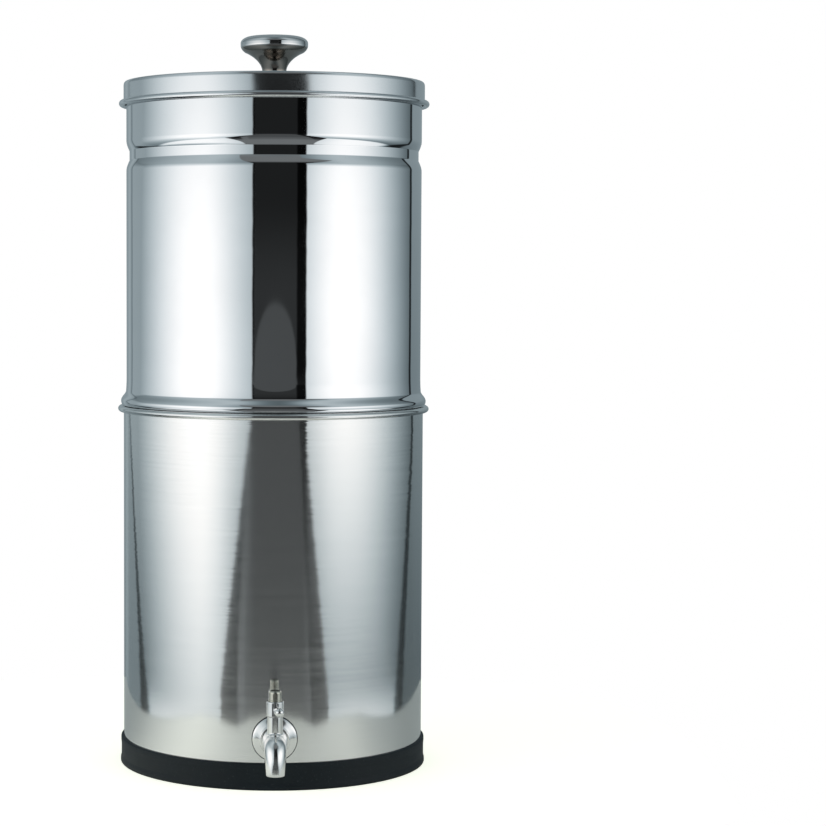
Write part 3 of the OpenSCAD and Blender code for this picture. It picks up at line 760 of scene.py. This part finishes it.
def lever_handle():
    spindle_r, low_edge, edge = 3.05, 0.4, 0.8
    hub = ([(spindle_r, HUB_LOW), (HUB_R - low_edge, HUB_LOW)]
           + arc(HUB_R - low_edge, HUB_LOW + low_edge, low_edge, low_edge, -90, 0, 6)
           + arc(HUB_R - edge, HUB_TOP - edge, edge, edge, 0, 90, 10) + [(spindle_r, HUB_TOP)])
    start, neck_r, taper_end, tip = 4.0, 2.5, LEVER_L - 6, 3
    lever = ([(0, start)] + ease(neck_r, start, LEVER_R, taper_end, 16)
             + arc(0, LEVER_L - tip, LEVER_R, tip, 0, 90, 20))
    height = HUB_LOW + 4.6
    turn = (Matrix.Rotation(math.radians(LEVER_TURN), 4, "Z") @ Matrix.Translation((0, 0, height * MM))
            @ Matrix.Rotation(math.radians(90 - LEVER_RISE), 4, "X"))
    return placed(joined(turned(hub, SMALL_AROUND), placed(turned(lever, 72), turn)), valve_axis())


def cap_nut():
    base, top, cap_r, round_r = HUB_TOP + 0.1, HUB_TOP + 8.0, 4.8, 1.8
    bore_r, bore_top, skirt_r, skirt_h, edge = 2.05, HUB_TOP + 6.0, 5.2, 0.55, 0.25
    outline = ([(bore_r, base), (skirt_r, base), (skirt_r, base + skirt_h)]
               + arc(skirt_r - edge, base + 0.75, edge, edge, 0, 90, 4) + [(cap_r, base + 1.2)]
               + arc(cap_r - round_r, top - round_r, round_r, round_r, 0, 90, 14)
               + [(0, top), (0, bore_top), (bore_r, bore_top)])
    return placed(turned(outline, SMALL_AROUND), valve_axis())


piece("base_ring_rubber", base_ring(), "lower_unit", M_RUBBER, "base_ring")
piece("lower_chamber_steel", lower_chamber(), "lower_unit", M_BRUSHED, "lower_chamber")
piece("upper_chamber_steel", upper_chamber(), "upper_unit", M_MIRROR, "upper_chamber")
piece("lid_steel", lid(), "lid_unit", M_LID, "lid")
piece("lid_knob_steel", lid_knob(), "lid_unit", M_KNOB, "lid_knob")
piece("tap_escutcheon_steel", escutcheon(), "lower_unit", M_TAP, "tap_escutcheon")
spout = tap_spout()
piece("tap_body_steel", joined(spout, tower_foot(spout), tap_tower(), tower_lug(), tap_shoulder(), tap_tail()),
      "lower_unit", M_TAP, "tap_body")
piece("lever_handle_steel", lever_handle(), "tap_lever", M_TAP, "lever_handle")
piece("lever_cap_nut_steel", cap_nut(), "tap_lever", M_CAP, "lever_cap_nut")


# ---- Studio: table, soft light around the object, white background ----
# Angles are in degrees around the object from the front, minus to the left. Heights are in metres above the table.
CAMERA_TURN = math.radians(0.8)  # the camera stands this far to the left of the front
WHITE = rgb(1.0, 1.0, 1.0)
TABLE_LEVEL = 0.80  # what the camera sees of the table's own light
WORLD_LEVEL = 0.5   # the world's light on the object, where its background is 1
SHELL_R, SHELL_Z = 1.6, 0.3
SCRIM_L, SCRIM_R, GROUND = 1.40, 1.38, 1.25
CEILING, CEILING_LIT, OVERHEAD = 0.15, 0.47, 0.22
NEAR_L, NEAR_R, FAR_L, FAR_R = -15.8, 24.3, -141.0, 129.0  # ends of the scrims
GAP_TOP, GAP_DARK, FIGURE, GAP_FLOOR, ROOM = 0.016, 0.036, 0.084, 0.03, 0.19
SHADOW = rgb(0.72, 0.915, 1.0)  # of the steel's darker reflections
# TABLE_TINT colours the table's glow, which is painted light where reflections see it
GAP_TINT, TABLE_TINT = rgb(0.91, 0.97, 1.0), rgb(0.99, 1.0, 0.88)


def table_top():
    """Pale cloth with a rounded front, a little larger than the object. It glows evenly for the camera, and with
    painted light for reflections.
    """
    left = [(-0.26, 0.36), (-0.318, 0.20), (-0.335, 0.09), (-0.343, 0.0), (-0.338, -0.165), (-0.306, -0.266)]
    front = [(-0.249, -0.317), (-0.144, -0.340), (-0.104, -0.393), (-0.050, -0.415), (0.004, -0.423),
             (0.060, -0.412), (0.119, -0.386), (0.160, -0.332), (0.238, -0.315), (0.297, -0.267)]
    right = [(0.340, -0.200), (0.350, -0.090), (0.353, 0.050), (0.345, 0.140), (0.317, 0.245), (0.257, 0.339)]
    edge = [(x, y, 0.0) for x, y in left + front + right + [(0.0, 0.42)]]
    ob = new_mesh("table_top", edge, [list(range(len(edge)))])

    s = Nodes("pale_table")
    path = s.light_path()
    x, y, _ = s.xyz(s.coords())
    phi = s.around(x, y)
    # Painted light that reflections see on the table: brighter towards the scrims at the left and right, and darkest
    # at the far right
    lit = s.least(s.ramp(phi, 15.0, 100.0, 0.28, 0.06), s.ramp(phi, -125.0, -40.0, 0.06, 0.29))
    lit += s.bell(phi, -53.0, 26.0, 18.0) * 0.28 + s.bell(phi, 45.0, 9.0, 10.0) * 0.11
    # The camera sees an even glow, and reflections see the painted light lit
    mirrored = s.most(path["Is Glossy Ray"], path["Is Transmission Ray"])
    level = path["Is Camera Ray"] * TABLE_LEVEL + mirrored * lit
    cloth = s.mix(s.noise(40.0, 3.0, 0.6), rgb(0.80, 0.80, 0.765), rgb(0.84, 0.84, 0.80))
    diffuse = s.add("ShaderNodeBsdfDiffuse", Color=cloth).outputs[0]
    glow = s.add("ShaderNodeEmission", Color=TABLE_TINT, Strength=level).outputs[0]
    ob.data.materials.append(s.finish(s.add("ShaderNodeAddShader", (diffuse, glow)).outputs[0]))


def ball(radius, centre_z, around=96, up=48):
    """Points and faces of a ball around the upright axis."""
    verts = []
    for i in range(1, up):
        r, z = radius * math.sin(math.pi * i / up), centre_z - radius * math.cos(math.pi * i / up)
        verts += [(r * math.cos(2 * math.pi * k / around), r * math.sin(2 * math.pi * k / around), z)
                  for k in range(around)]
    bottom, top = len(verts), len(verts) + 1
    verts += [(0, 0, centre_z - radius), (0, 0, centre_z + radius)]
    faces = []
    for k in range(around):
        q = (k + 1) % around
        faces += [[i * around + k, (i + 1) * around + k, (i + 1) * around + q, i * around + q] for i in range(up - 2)]
        faces += [[bottom, k, q], [(up - 2) * around + k, top, (up - 2) * around + q]]
    return verts, faces


def studio_shell():
    """Scrims to the left and right of the camera, dark in front between them, grey room above, below and behind."""
    ob = new_mesh("studio_shell", *ball(SHELL_R, SHELL_Z))
    s = Nodes("studio_light")
    x, y, z = s.xyz(s.coords())
    phi = s.around(x, y)

    def below(height):
        """How far z lies below a height, or 0."""
        return s.most(height - z, 0.0)

    def over(height):
        return s.most(z - height, 0.0)

    def past(angle, soft):
        """1 where an angle is more than 0, with a soft edge."""
        return s.ramp(angle, -soft, soft)

    def band(centre, half):
        """1 on a line at some angle, falling to 0 at its half width."""
        return s.ramp(s.math("ABSOLUTE", phi - centre) / half, 0.4, 1.0, 1.0, 0.0)

    # The left scrim is dimmer towards its far end, most of all near the table
    left = s.bell(phi, -56.0, 43.0, s.ramp(z, 0.03, 0.18, 25.5, 30.0)) * s.bell(z, 0.25, 0.44, 0.60)
    left = s.most(left, s.ramp(phi, -90.0, -60.0, 0.30, 0.0) * s.ramp(z, 0.65, 0.95, 1.0, 0.5))
    left *= 1.0 - s.ramp(phi, -115.0, -55.0, 0.45, 0.0, False) * s.ramp(z, -0.20, 0.15, 1.0, 0.0, False)
    right = s.bell(phi, 54.0, 31.0, 37.0) * s.bell(z, 0.33, 0.33, 0.50)
    # Bright ground under the scrims, and a ceiling that they light
    ground = s.ramp(z, -0.25, -0.14, GROUND, 0.0)
    ground *= s.most(s.bell(phi, -60.0, 60.0, 34.0), s.bell(phi, 64.0, 34.0, 46.0))
    lit = s.most(s.bell(phi, -58.0, 44.0, 24.0), s.bell(phi, 60.0, 20.0, 30.0))
    ceiling = s.between(s.ramp(z, 1.80, 1.90), lit * CEILING_LIT + CEILING, OVERHEAD) * s.ramp(z, 0.60, 0.95)
    scrims = s.most(left * SCRIM_L + right * SCRIM_R, s.most(ground, ceiling))

    # Near ends of the scrims, which lean outwards towards the floor and the ceiling
    under, rise, swell_z = below(-0.2), over(0.95), 0.35
    edge_l = s.most(below(0.20) * -60.0 + NEAR_L, -38.5) + under * 25.0 - rise * 28.0
    edge_r = s.least(below(0.145) * 50.0 + NEAR_R, 42.0) - under * 14.0
    edge_r += s.most(s.least(rise, swell_z) * 70.0 - s.most(rise - swell_z, 0.0) * 130.0, 0.0)
    in_front = s.ramp(phi - edge_l, -0.6, 0.9) * s.ramp(edge_r - phi, -0.6, 0.9) * s.ramp(z, 1.50, 1.72, 1.0, 0.0)
    # Their far ends, with a dark line on each that widens towards the floor
    far_l, far_r = below(0.20) * 70.0 + FAR_L, below(0.15) * -55.0 + FAR_R
    low = below(-0.05)
    width_l, width_r = below(0.05) * 12.0 + low * low * 120.0 + 2.2, below(0.15) * 14.0 + 2.8
    behind = s.most(past(far_l - phi, 0.5), past(phi - far_r, 0.5))

    # Between the scrims: black above, grey up to the height of someone who stands there, with darker strips
    across, up = (phi - 1.4) / 15.5, over(0.262) / 0.09
    figure = s.most(s.ramp(across * across + up * up, 0.88, 1.1, 1.0, 0.0), s.ramp(z, 0.235, 0.255, 1.0, 0.0))
    gap = s.between(figure, s.ramp(z, 0.36, 0.50, GAP_DARK, GAP_TOP), FIGURE) + s.ramp(z, -0.20, -0.08, GAP_FLOOR, 0.0)
    strip_l = s.least(s.most(z * 30.0 - 22.5, -25.8), -14.3)
    strip_r = s.most(z * -24.0 + 23.3, 17.0)
    gap *= 1.0 - s.most(past(strip_l - phi, 0.8), past(phi - strip_r, 0.8)) * 0.85
    gap *= band(strip_l + 3.4, 3.2) * s.ramp(z, -0.08, 0.05, 1.0, 0.0) * 0.4 + 1.0
    gap = s.between(s.most(s.ramp(z, 1.00, 1.25), s.ramp(z, -0.55, -0.25, 1.0, 0.0)), gap, ROOM)

    # Behind the scrims: a grey room, darker at the right
    back_l = s.ramp(z, -0.45, 0.35, 0.22, 0.35) + s.bell(phi, -149.0, 3.5, 3.5) * 0.10
    back_r = s.ramp(z, -0.25, 0.20, 0.115, 0.27, False) + s.ramp(z, 0.20, 0.60, 0.0, 0.07)
    sides = s.between(behind, scrims, s.between(s.ramp(x, -0.6, 0.6), back_l, back_r))
    sides *= 1.0 - band(far_l, width_l) * s.ramp(z, 0.05, 0.25, 0.97, 0.35)
    sides *= 1.0 - band(far_r, width_r) * 0.9
    tint = s.mix(in_front, s.mix(s.ramp(sides, 0.2, 1.25, 0.0, 1.0, False), SHADOW, WHITE), GAP_TINT)
    glow = s.add("ShaderNodeEmission", Color=tint, Strength=s.between(in_front, sides, gap))
    ob.data.materials.append(s.finish(glow.outputs[0]))
    ob.rotation_euler.z = -CAMERA_TURN
    ob.visible_camera = False
    ob.visible_shadow = False


def world():
    s = Nodes("white", world=True)
    path = s.light_path()
    seen = s.most(s.most(path["Is Camera Ray"], path["Is Glossy Ray"]), path["Is Transmission Ray"])
    light = s.add("ShaderNodeBackground", Color=WHITE, Strength=seen * (1.0 - WORLD_LEVEL) + WORLD_LEVEL)
    bpy.context.scene.world = s.finish(light.outputs[0])


def camera():
    focal_px, size_px, centre_px = 2365.0, 826.0, 273.35
    dist, height, pitch, roll = 1.899, 0.3947, math.radians(3.444), 0.0028
    cam = bpy.data.cameras.new("camera")
    cam.sensor_width = 36.0
    cam.lens = focal_px / size_px * cam.sensor_width
    cam.shift_x = 0.5 - centre_px / size_px
    cam.clip_start, cam.clip_end = 0.05, 50.0
    ob = bpy.data.objects.new("camera", cam)
    bpy.context.scene.collection.objects.link(ob)
    a = CAMERA_TURN
    place = Matrix.Translation((-dist * math.sin(a), -dist * math.cos(a), height))
    ob.matrix_world = (place @ Matrix.Rotation(-a, 4, "Z") @ Matrix.Rotation(math.pi / 2 - pitch, 4, "X")
                       @ Matrix.Rotation(roll, 4, "Z"))
    bpy.context.scene.camera = ob


table_top()
studio_shell()
world()
camera()
bpy.context.scene.view_settings.view_transform = "Standard"
